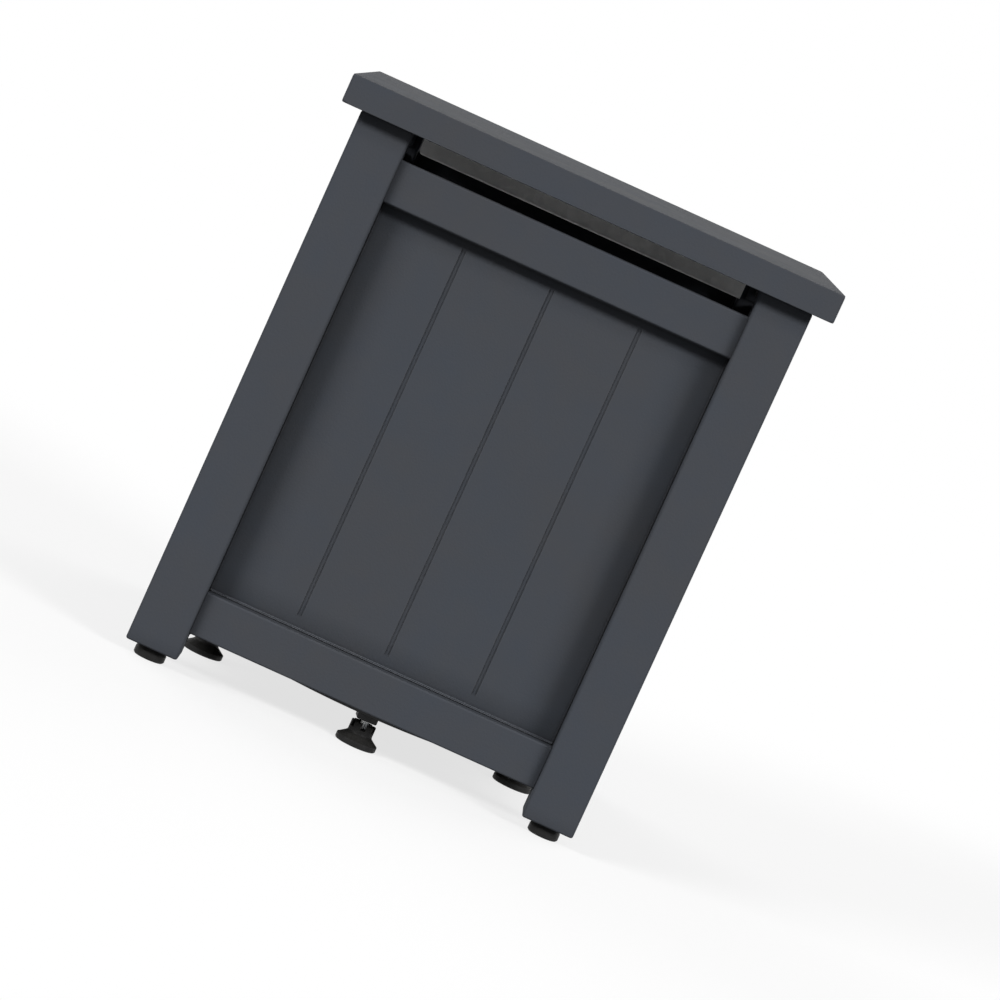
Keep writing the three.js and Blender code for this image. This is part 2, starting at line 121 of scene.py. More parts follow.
def add_range(tree, value, low, high, to_low, to_high):
    """The value, mapped from low..high to to_low..to_high and held inside them."""
    made = add_node(tree, "ShaderNodeMapRange", in_From_Min=low, in_From_Max=high,
                    in_To_Min=to_low, in_To_Max=to_high)
    tree.links.new(value, made.inputs["Value"])
    return made.outputs["Result"]


def add_mix(tree, factor, first, second):
    """Colour that goes from the first to the second as the factor goes from 0 to 1."""
    made = add_node(tree, "ShaderNodeMix", data_type="RGBA")
    feed(tree, made.inputs[0], factor)
    feed(tree, made.inputs[6], first)
    feed(tree, made.inputs[7], second)
    return made.outputs[2]


def add_noise(tree, vector, scale, detail, roughness):
    """The value of a Noise texture, about 0.5, at a vector and a scale that are sockets."""
    made = add_node(tree, "ShaderNodeTexNoise", in_Detail=detail, in_Roughness=roughness)
    tree.links.new(vector, made.inputs["Vector"])
    tree.links.new(scale, made.inputs["Scale"])
    return made.outputs["Fac"]


def facing_up(tree, low, high, to_low, to_high):
    """How far a surface faces up, which is its normal's Z, mapped as add_range does."""
    surface = add_node(tree, "ShaderNodeNewGeometry")
    parts = add_node(tree, "ShaderNodeSeparateXYZ")
    tree.links.new(surface.outputs["Normal"], parts.inputs[0])
    return add_range(tree, parts.outputs["Z"], low, high, to_low, to_high)


def new_group(name, inputs, outputs):
    """An empty node group, with its input and output sockets. Rows are (name, kind, default)."""
    group = bpy.data.node_groups.new(name, "ShaderNodeTree")
    for label, kind, value in inputs:
        group.interface.new_socket(label, in_out="INPUT", socket_type=kind).default_value = value
    for label, kind in outputs:
        group.interface.new_socket(label, in_out="OUTPUT", socket_type=kind)
    return group, group.nodes.new("NodeGroupInput").outputs, group.nodes.new("NodeGroupOutput").inputs


def use_group(tree, group, **values):
    """Puts a node group into a tree, with sockets or numbers for its inputs."""
    made = add_node(tree, "ShaderNodeGroup", node_tree=group)
    for key, value in values.items():
        feed(tree, made.inputs[key.replace("_", " ")], value)
    return made.outputs


def coat_tone_group():
    """Slow changes of tone in a coat of paint: large soft clouds and finer mottling, added up."""
    group, given, result = new_group("coat tone", [
        ("Vector", "NodeSocketVector", (0, 0, 0)),
        ("Cloud Scale", "NodeSocketFloat", 7.0),
        ("Mottle Scale", "NodeSocketFloat", 60.0),
    ], [("Cloud", "NodeSocketFloat"), ("Mottle", "NodeSocketFloat")])
    for label, detail in (("Cloud", 2.0), ("Mottle", 3.0)):
        noise = add_noise(group, given["Vector"], given[label + " Scale"], detail, 0.5)
        group.links.new(add_range(group, noise, 0.3, 0.7, 0, 1), result[label])
    return group


# Cosines of the angle between the rounded and the true normal, where the paler edge begins and where it is
# full
EDGE_COSINES = (0.995, 0.86)


def edge_wear_and_highlight_group():
    """Where a surface turns sharply within a radius, broken up by noise: the rounded normal there
    differs from the true one."""
    group, given, result = new_group("edge wear and highlight", [
        ("Vector", "NodeSocketVector", (0, 0, 0)),
        ("Radius", "NodeSocketFloat", 0.001),
        ("Break Scale", "NodeSocketFloat", 90.0),
        ("Break", "NodeSocketFloat", 0.5),
    ], [("Edge", "NodeSocketFloat")])
    rounded = add_node(group, "ShaderNodeBevel", samples=2)
    group.links.new(given["Radius"], rounded.inputs["Radius"])
    surface = add_node(group, "ShaderNodeNewGeometry")
    agree = add_node(group, "ShaderNodeVectorMath", operation="DOT_PRODUCT")
    group.links.new(rounded.outputs["Normal"], agree.inputs[0])
    group.links.new(surface.outputs["Normal"], agree.inputs[1])
    edge = add_range(group, agree.outputs["Value"], *EDGE_COSINES, 0, 1)
    noise = add_noise(group, given["Vector"], given["Break Scale"], 3.0, 0.6)
    gaps = add_math(group, "MULTIPLY", add_range(group, noise, 0.42, 0.6, 1, 0), given["Break"])
    group.links.new(add_math(group, "SUBTRACT", edge, gaps, clamp=True), result["Edge"])
    return group


def grain_group():
    """Height of a fine grain: rounded bumps of one size, with noise of 3.7 times their scale over them."""
    group, given, result = new_group("grain", [
        ("Vector", "NodeSocketVector", (0, 0, 0)),
        ("Scale", "NodeSocketFloat", 700.0),
        ("Fine", "NodeSocketFloat", 0.35),
    ], [("Height", "NodeSocketFloat")])
    coarse = add_noise(group, given["Vector"], given["Scale"], 1.0, 0.4)
    fine_scale = add_math(group, "MULTIPLY", given["Scale"], 3.7)
    fine = add_noise(group, given["Vector"], fine_scale, 2.0, 0.6)
    lift = add_math(group, "MULTIPLY", fine, given["Fine"])
    group.links.new(add_math(group, "ADD", coarse, lift), result["Height"])
    return group


def dust_group():
    """Dust that has settled on what faces up, in patches."""
    group, given, result = new_group("dust", [
        ("Vector", "NodeSocketVector", (0, 0, 0)),
        ("Amount", "NodeSocketFloat", 0.3),
        ("Patch Scale", "NodeSocketFloat", 25.0),
    ], [("Dust", "NodeSocketFloat")])
    noise = add_noise(group, given["Vector"], given["Patch Scale"], 5.0, 0.65)
    patches = add_range(group, noise, 0.3, 0.75, 0.25, 1)
    settled = add_math(group, "MULTIPLY", facing_up(group, 0.35, 0.95, 0, 1), patches)
    group.links.new(add_math(group, "MULTIPLY", settled, given["Amount"]), result["Dust"])
    return group


def painted_shade_group():
    """Painted shade, as the share of a colour that is kept: 1 in the open, and less by the depth in a
    right-angled corner, where half of the sky is hidden. What faces up is spared, as if lit from above."""
    group, given, result = new_group("painted_shade", [
        ("Reach", "NodeSocketFloat", 0.025),
        ("Depth", "NodeSocketFloat", 0.35),
    ], [("Unshaded", "NodeSocketFloat")])
    sky = add_node(group, "ShaderNodeAmbientOcclusion", samples=2)
    group.links.new(given["Reach"], sky.inputs["Distance"])
    hidden = add_range(group, sky.outputs["AO"], 1, 0.5, 0, 1)
    hidden = add_math(group, "MULTIPLY", hidden, facing_up(group, 0.2, 0.8, 1, 0))
    loss = add_math(group, "MULTIPLY", hidden, given["Depth"])
    group.links.new(add_math(group, "SUBTRACT", 1.0, loss), result["Unshaded"])
    return group


GROUPS = {
    "tone": coat_tone_group(),
    "edge": edge_wear_and_highlight_group(),
    "grain": grain_group(),
    "dust": dust_group(),
    "painted_shade": painted_shade_group(),
}


def new_material(name, roughness, metallic=0.0):
    """A material's tree, its Principled BSDF and the object's own coordinates."""
    material = bpy.data.materials.new(name)
    material.use_nodes = True
    tree = material.node_tree
    shader = tree.nodes["Principled BSDF"]
    shader.inputs["Roughness"].default_value = roughness
    shader.inputs["Metallic"].default_value = metallic
    place = add_node(tree, "ShaderNodeTexCoord").outputs["Object"]
    return material, tree, shader, place


def lay_finish(tree, shader, place, colour, shift, rough, grain, fine, height):
    """Joins a finish to its shader: the colour, a roughness that goes through its range with the shift,
    and a grain of the given scale, whose full height tilts the normal."""
    tree.links.new(colour, shader.inputs["Base Color"])
    tree.links.new(add_range(tree, shift, 0, 1, *rough), shader.inputs["Roughness"])
    grain = use_group(tree, GROUPS["grain"], Vector=place, Scale=grain, Fine=fine)
    bump = add_node(tree, "ShaderNodeBump", in_Strength=1.0, in_Distance=height)
    tree.links.new(grain["Height"], bump.inputs["Height"])
    tree.links.new(bump.outputs["Normal"], shader.inputs["Normal"])


# Colours of the slate coat: its neutral and its cooler tone on tube and on sheet, paler edges that are
# partly rubbed and partly a painted highlight, the painted highlight along the lower rails' ledges and the
# thin neutral film on the top
SLATE_TUBE = ((0.0605, 0.0632, 0.0700, 1), (0.0565, 0.0638, 0.0775, 1))
SLATE_SHEET = ((0.0603, 0.0630, 0.0697, 1), (0.0565, 0.0638, 0.0770, 1))
SLATE_RUBBED_AND_HIGHLIGHT = (0.11, 0.112, 0.118, 1)
LEDGE_HIGHLIGHT = (0.165, 0.172, 0.192, 1)
TOP_FILM = (0.0625, 0.0615, 0.0595, 1)
BLACK = (0, 0, 0, 1)

# Colours of the other finishes: the two tones that they change between, what is rubbed, and dust
GALVANISED = ((0.64, 0.64, 0.64, 1), (0.75, 0.75, 0.75, 1))
STAND_BLACK = ((0.009, 0.009, 0.0095, 1), (0.015, 0.015, 0.0155, 1))
STAND_RUBBED = (0.13, 0.13, 0.13, 1)
STAND_DUST = (0.22, 0.21, 0.19, 1)
PLASTIC_BLACK = ((0.0065, 0.0064, 0.0063, 1), (0.0105, 0.0102, 0.010, 1))
PLASTIC_RUBBED = (0.05, 0.049, 0.047, 1)
PLASTIC_DUST = (0.20, 0.195, 0.18, 1)
ZINC = ((0.51, 0.53, 0.55, 1), (0.59, 0.57, 0.52, 1))

# Distances from a side's middle, and heights, over which an effect on the slate coat comes or goes: the
# painted shadow in the seams beside the legs, the painted highlight on the ledges and the top's film
SEAM_SHADE_ACROSS = (170.2 * MM, 171 * MM)
LEDGE_ACROSS = (168 * MM, 171 * MM)
LEDGE_BELOW = (70 * MM, 74 * MM)
LEDGE_ABOVE = (88 * MM, 94 * MM)
TOP_FILM_BELOW = (520 * MM, 560 * MM)

# How much colour a panel's edge keeps under the painted shadow in its seam with a leg, and how much of the
# top's film lies lower down
SEAM_SHADE = 0.45
LOW_FILM = 0.1


def across_side(tree, parts):
    """How far a place on one of the four sides is from that side's middle: the smaller of |x| and |y|."""
    return add_math(tree, "MINIMUM", add_math(tree, "ABSOLUTE", parts.outputs["X"], 0.0),
                    add_math(tree, "ABSOLUTE", parts.outputs["Y"], 0.0))


def ledge_highlight_band(tree, parts):
    """1 along the lower rails' ledges, between the legs, where a highlight is painted along their edges.
    """
    below = add_range(tree, parts.outputs["Z"], *LEDGE_BELOW, 0, 1)
    above = add_range(tree, parts.outputs["Z"], *LEDGE_ABOVE, 1, 0)
    between = add_range(tree, across_side(tree, parts), *LEDGE_ACROSS, 1, 0)
    return add_math(tree, "MULTIPLY", add_math(tree, "MULTIPLY", below, above), between)


def powder_coat(name, tones, peel, shade_grooves_and_seams=False):
    """Baked powder coat: a neutral and a cooler tone in soft clouds, orange peel, edges that are a little
    paler, partly rubbed and partly a painted highlight, a strong painted highlight along the lower rails'
    ledges, and a thin neutral film in patches on the top. Painted shade darkens the corners, and on sheet
    also the grooves and the seams beside the legs."""
    material, tree, shader, place = new_material(name, 0.7)
    shader.inputs["Specular IOR Level"].default_value = 0.08
    tone = use_group(tree, GROUPS["tone"], Vector=place, Cloud_Scale=6.0, Mottle_Scale=38.0)
    shift = add_math(tree, "ADD", add_math(tree, "MULTIPLY", tone["Cloud"], 0.6),
                     add_math(tree, "MULTIPLY", tone["Mottle"], 0.4))
    colour = add_mix(tree, shift, *tones)
    parts = add_node(tree, "ShaderNodeSeparateXYZ")
    tree.links.new(place, parts.inputs[0])
    # Painted highlight: edges are paler, partly rubbed paint and partly painted highlight, and along the
    # lower rails' ledges a much paler, less broken line is painted where light from above would fall.
    ledge = ledge_highlight_band(tree, parts)
    edge = use_group(tree, GROUPS["edge"], Vector=place, Radius=1.1 * MM, Break_Scale=55.0,
                     Break=add_range(tree, ledge, 0, 1, 0.7, 0.1))
    rubbed = add_math(tree, "MULTIPLY", edge["Edge"], add_range(tree, ledge, 0, 1, 0.7, 1))
    # A neutral film in patches where the coat faces up, mostly on the top, which turns its blue-grey to
    # neutral.
    dust = use_group(tree, GROUPS["dust"], Vector=place, Amount=0.6, Patch_Scale=12.0)
    colour = add_mix(tree, rubbed, colour, add_mix(tree, ledge, SLATE_RUBBED_AND_HIGHLIGHT, LEDGE_HIGHLIGHT))
    height = add_range(tree, parts.outputs["Z"], *TOP_FILM_BELOW, LOW_FILM, 1)
    colour = add_mix(tree, add_math(tree, "MULTIPLY", dust["Dust"], height), colour, TOP_FILM)
    # Painted shade: the colour goes towards black in corners, as far as ambient occlusion finds them
    # hidden.
    painted_shade = use_group(tree, GROUPS["painted_shade"], Reach=28 * MM, Depth=0.38)
    colour = add_mix(tree, painted_shade["Unshaded"], BLACK, colour)
    # Painted shade in the sheet's grooves, and a painted shadow along the seams where the panels meet the
    # legs.
    if shade_grooves_and_seams:
        groove = use_group(tree, GROUPS["painted_shade"], Reach=4 * MM, Depth=0.4)
        seam = add_range(tree, across_side(tree, parts), *SEAM_SHADE_ACROSS, 1, SEAM_SHADE)
        colour = add_mix(tree, add_math(tree, "MULTIPLY", groove["Unshaded"], seam), BLACK, colour)
    lay_finish(tree, shader, place, colour, tone["Mottle"], rough=(0.74, 0.84),
               grain=peel, fine=0.2, height=0.12 * MM)
    return material


def galvanised_sheet():
    """Zinc-dipped sheet: crystals of a few millimetres, each with a tone of its own."""
    material, tree, shader, place = new_material("galvanised sheet", 0.63, 0.72)
    crystals = add_node(tree, "ShaderNodeTexVoronoi", in_Scale=160.0, in_Randomness=1.0)
    tree.links.new(place, crystals.inputs["Vector"])
    parts = add_node(tree, "ShaderNodeSeparateColor")
    tree.links.new(crystals.outputs["Color"], parts.inputs[0])
    tone = use_group(tree, GROUPS["tone"], Vector=place, Cloud_Scale=14.0, Mottle_Scale=90.0)
    shift = add_math(tree, "MULTIPLY", parts.outputs[0], tone["Mottle"])
    lay_finish(tree, shader, place, add_mix(tree, shift, *GALVANISED), parts.outputs[1],
               rough=(0.58, 0.68), grain=900.0, fine=0.5, height=0.05 * MM)
    return material


def stand_paint():
    """Satin black paint on mill-finish bar: brushy grain, dust on top, edges rubbed to grey."""
    material, tree, shader, place = new_material("stand paint", 0.52)
    shader.inputs["Specular IOR Level"].default_value = 0.3
    tone = use_group(tree, GROUPS["tone"], Vector=place, Cloud_Scale=16.0, Mottle_Scale=120.0)
    colour = add_mix(tree, tone["Cloud"], *STAND_BLACK)
    edge = use_group(tree, GROUPS["edge"], Vector=place, Radius=0.9 * MM, Break_Scale=140.0, Break=1.0)
    colour = add_mix(tree, add_math(tree, "MULTIPLY", edge["Edge"], 0.55), colour, STAND_RUBBED)
    dust = use_group(tree, GROUPS["dust"], Vector=place, Amount=0.16, Patch_Scale=30.0)
    colour = add_mix(tree, dust["Dust"], colour, STAND_DUST)
    lay_finish(tree, shader, place, colour, tone["Mottle"], rough=(0.46, 0.6),
               grain=300.0, fine=0.4, height=0.14 * MM)
    return material


def foot_plastic():
    """Moulded black plastic with a spark-eroded texture, scuffed on its edges."""
    material, tree, shader, place = new_material("foot plastic", 0.6)
    shader.inputs["Specular IOR Level"].default_value = 0.2
    tone = use_group(tree, GROUPS["tone"], Vector=place, Cloud_Scale=30.0, Mottle_Scale=200.0)
    colour = add_mix(tree, tone["Mottle"], *PLASTIC_BLACK)
    edge = use_group(tree, GROUPS["edge"], Vector=place, Radius=0.8 * MM, Break_Scale=220.0, Break=0.8)
    colour = add_mix(tree, add_math(tree, "MULTIPLY", edge["Edge"], 0.35), colour, PLASTIC_RUBBED)
    dust = use_group(tree, GROUPS["dust"], Vector=place, Amount=0.1, Patch_Scale=60.0)
    colour = add_mix(tree, dust["Dust"], colour, PLASTIC_DUST)
    lay_finish(tree, shader, place, colour, tone["Mottle"], rough=(0.52, 0.68),
               grain=1500.0, fine=0.6, height=0.08 * MM)
    return material


def zinc_plate():
    """Bright zinc plate with a faint blue and straw cast and dull patches."""
    material, tree, shader, place = new_material("zinc plate", 0.3, 1.0)
    tone = use_group(tree, GROUPS["tone"], Vector=place, Cloud_Scale=45.0, Mottle_Scale=260.0)
    lay_finish(tree, shader, place, add_mix(tree, tone["Cloud"], *ZINC), tone["Mottle"],
               rough=(0.22, 0.42), grain=1400.0, fine=0.4, height=0.03 * MM)
    return material


MATERIALS = {
    "table_frame": powder_coat("slate coat", SLATE_TUBE, peel=420.0),
    "side_panel": powder_coat("slate coat on sheet", SLATE_SHEET, peel=480.0, shade_grooves_and_seams=True),
    "bare_sheet": galvanised_sheet(),
    "stand_steel": stand_paint(),
    "foot_plastic": foot_plastic(),
    "zinc": zinc_plate(),
}


# Mesh tools, with the distances within which points of a mesh are merged
GRID_MERGE = 2e-6
CAD_MERGE = 1e-6
SHORTEST_EDGE = 1e-7

# Angles up to which CAD faces join into one, from which an edge is shaded crisp and from which a CAD edge
# is rounded, and the steps of a rounded edge
FLAT_ANGLE = 0.5
SHARP_ANGLE = 35
ROUNDED_ANGLE = 50
ROUNDED_STEPS = 2


def grid_faces(rows, columns, wrap_rows, wrap_columns):
    """Quads between neighbours of a grid of points, row by row, wrapped where it closes on itself."""
    row = np.arange(rows if wrap_rows else rows - 1)[:, None]
    column = np.arange(columns if wrap_columns else columns - 1)[None, :]
    below, beside = (row + 1) % rows, (column + 1) % columns
    corners = [row * columns + column, row * columns + beside,
               below * columns + beside, below * columns + column]
    return np.stack([np.broadcast_to(c, (row.size, column.size)).ravel() for c in corners], axis=1)


def closed_mesh(name, surfaces):
    """One mesh of grids of points, given as (points, wrap rows, wrap columns). Points that meet are
    merged, open ends are filled and every face is turned outwards."""
    places, faces, start = [], [], 0
    for points, wrap_rows, wrap_columns in surfaces:
        rows, columns = points.shape[:2]
        places.append(points.reshape(-1, 3))
        faces.append(grid_faces(rows, columns, wrap_rows, wrap_columns) + start)
        start += rows * columns
    mesh = bpy.data.meshes.new(name)
    mesh.from_pydata(np.concatenate(places).tolist(), [], np.concatenate(faces).tolist())
    work = bmesh.new()
    work.from_mesh(mesh)
    bmesh.ops.remove_doubles(work, verts=work.verts, dist=GRID_MERGE)
    bmesh.ops.dissolve_degenerate(work, edges=work.edges, dist=SHORTEST_EDGE)
    open_edges = [e for e in work.edges if e.is_boundary]
    if open_edges:
        bmesh.ops.holes_fill(work, edges=open_edges, sides=0)
    bmesh.ops.recalc_face_normals(work, faces=work.faces)
    work.to_mesh(mesh)
    work.free()
    return mesh


def add_piece(name, mesh, body, slot, replaces=(), sharp_angle=SHARP_ANGLE):
    """Dresses a mesh in its slot's material and puts it on its body. Edges that turn more than the
    sharp angle stay crisp, and the rest are shaded smooth."""
    work = bmesh.new()
    work.from_mesh(mesh)
    for face in work.faces:
        face.smooth = True
    limit = math.radians(sharp_angle)
    for edge in work.edges:
        edge.smooth = len(edge.link_faces) == 2 and edge.calc_face_angle(0) < limit
    work.to_mesh(mesh)
    work.free()
    piece = bpy.data.objects.new(name, mesh)
    bpy.context.scene.collection.objects.link(piece)
    mesh.materials.append(MATERIALS[slot])
    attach(piece, body)
    if replaces:
        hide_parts(*replaces)
    return piece


def replace_node(node, finish, surfaces, slot, sharp_angle=SHARP_ANGLE):
    """A piece of grids of points in a CAD node's place, on that node's body and named for its finish."""
    name = node + "_" + finish
    body = frame["nodes"][node]["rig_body"]
    return add_piece(name, closed_mesh(name, surfaces), body, slot, [node], sharp_angle)


def weigh_normals(piece):
    """Lets large faces keep their own normal where they meet small ones."""
    weighted = piece.modifiers.new("face weights", "WEIGHTED_NORMAL")
    weighted.keep_sharp = True


def finish_node(node, slot, radius):
    """A copy of a CAD node with joined-up flat faces, whose sharp edges are rounded to the radius."""
    source = frame["nodes"][node]
    work = bmesh.new()
    work.from_mesh(source.data)
    bmesh.ops.remove_doubles(work, verts=work.verts, dist=CAD_MERGE)
    flat = math.radians(FLAT_ANGLE)
    bmesh.ops.dissolve_limit(work, angle_limit=flat, verts=work.verts, edges=work.edges)
    plain = bpy.data.meshes.new(node + "_finished")
    work.to_mesh(plain)
    work.free()
    piece = add_piece(node + "_finished", plain, source["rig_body"], slot, [node], sharp_angle=180)
    bevel = piece.modifiers.new("rounded edges", "BEVEL")
    bevel.width = radius
    bevel.segments = ROUNDED_STEPS
    bevel.limit_method = "ANGLE"
    bevel.angle_limit = math.radians(ROUNDED_ANGLE)
    bevel.harden_normals = True
    weigh_normals(piece)


def node_box(node):
    """The lowest and highest corner of a CAD node."""
    mesh = frame["nodes"][node].data
    places = np.empty(len(mesh.vertices) * 3)
    mesh.vertices.foreach_get("co", places)
    places = places.reshape(-1, 3)
    return places.min(axis=0), places.max(axis=0)


def node_foot(node):
    """The middle of a CAD node's lowest face, and the node's height."""
    low, high = node_box(node)
    return np.array([(low[0] + high[0]) / 2, (low[1] + high[1]) / 2, low[2]]), high[2] - low[2]


def about_z(points, angle):
    """Points turned about Z by an angle in degrees."""
    c, s = math.cos(math.radians(angle)), math.sin(math.radians(angle))
    return points @ np.array([[c, s, 0], [-s, c, 0], [0, 0, 1]])


def onto_x(points):
    """Points turned about Y so that +Z becomes +X."""
    return np.stack([points[..., 2], points[..., 1], -points[..., 0]], axis=-1)


def full_circle(count):
    """Angles at equal steps round a circle, without the one that meets the first."""
    return np.arange(count) / count * FULL_TURN


def rounded_profile(rows, steps=3):
    """A line through (across, up, radius) rows, with an arc of its radius at each inner row. The arc
    starts radius / tan(half the corner's angle) away from the corner. Seen from its centre it goes from
    its start s to its end e by (sin((1 - t) turn) s + sin(t turn) e) / sin(turn)."""
    places = np.array([row[:2] for row in rows], float)
    line = [places[0]]
    for before, here, after, row in zip(places, places[1:], places[2:], rows[1:]):
        if row[2] == 0:
            line.append(here)
            continue
        back = (before - here) / np.linalg.norm(before - here)
        ahead = (after - here) / np.linalg.norm(after - here)
        half = math.acos(back @ ahead) / 2
        centre = here + (back + ahead) / np.linalg.norm(back + ahead) * row[2] / math.sin(half)
        start, end = (here + way * row[2] / math.tan(half) - centre for way in (back, ahead))
        turn = math.pi - 2 * half
        for share in np.linspace(0, 1, steps + 1):
            blend = math.sin((1 - share) * turn) * start + math.sin(share * turn) * end
            line.append(centre + blend / math.sin(turn))
    line.append(places[-1])
    return np.array(line)


def turned(across, up, angle):
    """Points (across cos angle, across sin angle, up), from arrays that spread to one shape."""
    across, up, angle = np.broadcast_arrays(across, up, angle)
    return np.stack([across * np.cos(angle), across * np.sin(angle), up], axis=-1)


def lathe(line, sides):
    """Grid of a line of (across, up) points turned about Z: (r cos a, r sin a, z)."""
    return turned(line[:, :1], line[:, 1:], full_circle(sides))


# A 60 degree thread: its depth as a share of its pitch, how far its ends are turned down as a share of
# that depth, and the shares of its pitch at which the crest begins and ends, then the root
THREAD_DEPTH_SHARE = 0.54
THREAD_TIP_SHARE = 1.4
THREAD_PHASE_SHARES = np.array([0, 0.125, 0.4375, 0.6875])


def threaded_rod(radius, pitch, length, sides=28):
    """Grid of a rod along +Z with a 60 degree thread. Each row follows the helix z = pitch * (phase +
    angle / full turn), and the ends are chamfered to below the thread's root."""
    depth = THREAD_DEPTH_SHARE * pitch
    drops = np.array([0, 0, depth, depth])
    turns = int(math.ceil(length / pitch)) + 2
    phase = (np.arange(turns)[:, None] - 1 + THREAD_PHASE_SHARES).ravel()[:, None]
    angle = np.linspace(0, FULL_TURN, sides + 1)
    up = np.clip(pitch * (phase + angle / FULL_TURN), 0, length)
    tip = radius - THREAD_TIP_SHARE * depth
    across = np.minimum(np.tile(radius - drops, turns)[:, None], tip + np.minimum(up, length - up))
    return turned(across, up, angle)


# A nut's chamfer, as shares of its height and width, the slope of its cone and its countersink
NUT_CHAMFER_SHARE = 0.14
NUT_FACE_SHARE = 0.48
NUT_CONE_SLOPE = 1.7
NUT_SINK_SHARE = 0.08


def hex_nut(width, height, bore, sides=72):
    """Grid of a hexagonal nut along +Z. Its outside is the smaller of the hexagon's reach
    (width / 2) / cos(a) and a chamfer cone, and its bore has a countersink at both ends."""
    angle = full_circle(sides)
    reach = width / 2 / np.cos((angle + math.pi / 6) % (math.pi / 3) - math.pi / 6)
    drop = np.concatenate([np.linspace(0, NUT_CHAMFER_SHARE, 5), np.linspace(1 - NUT_CHAMFER_SHARE, 1, 5)])
    drop = drop * height
    cone = width * NUT_FACE_SHARE + NUT_CONE_SLOPE * np.minimum(drop, height - drop)
    outside = np.minimum(reach[None, :], cone[:, None])
    sink = NUT_SINK_SHARE * width
    inside = np.array([[bore + sink, height], [bore, height - sink], [bore, sink], [bore + sink, 0]])
    across = np.concatenate([outside, np.tile(inside[:, :1], (1, sides))])
    return turned(across, np.concatenate([drop, inside[:, 1]])[:, None], angle)


# A weld: the depth of its ripples and their length, straight and in a ring, as shares of its radius, the
# sides of its round section, and any line that no weld runs along, to turn that section by
RIPPLE_DEPTH_SHARE = 0.06
RIPPLE_SHARE = 0.9
RING_RIPPLE_SHARE = 1.3
WELD_SIDES = 10
WELD_SKEW = (0.31, 0.53, 0.79)


def weld_bead(start, end, radius):
    """Grid of a straight weld with rounded ends. Its fine overlapping ripples are r (1 - d + d |sin|),
    with d their depth as a share of the radius r."""
    start, end = np.array(start, float), np.array(end, float)
    length = np.linalg.norm(end - start)
    along = (end - start) / length
    side = np.cross(along, WELD_SKEW)
    side /= np.linalg.norm(side)
    drops = max(2, round(length / (RIPPLE_SHARE * radius)))
    share = np.linspace(0, 1, 6 * drops + 1)[:, None]
    swell = 1 - RIPPLE_DEPTH_SHARE + RIPPLE_DEPTH_SHARE * np.abs(np.sin(math.pi * drops * share))
    taper = np.sqrt(np.clip(1 - np.abs(2 * share - 1) ** (2 * drops), 0, 1))
    angle = full_circle(WELD_SIDES)
    reach = (radius * swell * taper)[..., None]
    ring = np.cos(angle)[None, :, None] * side + np.sin(angle)[None, :, None] * np.cross(along, side)
    return start + share[..., None] * (end - start) + reach * ring


def weld_ring(around, radius, sides):
    """Grid of a weld round a rod along +Z at zero: a ring whose thickness swells in fine ripples, as a
    straight weld's does."""
    angle = full_circle(sides)
    drops = max(6, round(FULL_TURN * around / (RING_RIPPLE_SHARE * radius)))
    swell = 1 - RIPPLE_DEPTH_SHARE + RIPPLE_DEPTH_SHARE * np.abs(np.sin(drops * angle / 2))
    turn = full_circle(WELD_SIDES)[:, None]
    return turned(around + radius * swell * np.cos(turn), radius * swell * np.sin(turn), angle)


# Radii that the finished edges of the CAD pieces are rounded to
EDGE_RADII = {
    "sheet": 0.25 * MM,
    "tube": 0.35 * MM,
    "bar": 0.5 * MM,
}
THREAD_RADIUS = 4 * MM
THREAD_PITCH = 1.25 * MM
THREAD_CLEARANCE = 0.2 * MM

# How far the stand's cross and its wing bolt are turned about Z
CROSS_TURN = 7
BOLT_TURN = CROSS_TURN - 45


def spoke_turn(index):
    """The angle about Z of the spoke that points to a side, in the order of the sides."""
    return CROSS_TURN + (index - 1) * 90


# The tabletop's folded sheet, in millimetres: the sheet, its lip, the radii of its corners and edges, how
# far from a corner and to which radius the edges are ground, the weld inside a corner, and the distances
# from a corner's arc at which the ground edge has a column
TOP_SHEET = 0.8
TOP_LIP = 93
TOP_CORNER = 3
TOP_EDGE = 0.9
TOP_GROUND_EDGE = 2.7
TOP_GROUND_REACH = 8
TOP_CORNER_WELD = 1.2
TOP_GROUND_COLUMNS = np.array([6, 4.5, 3, 1.5])


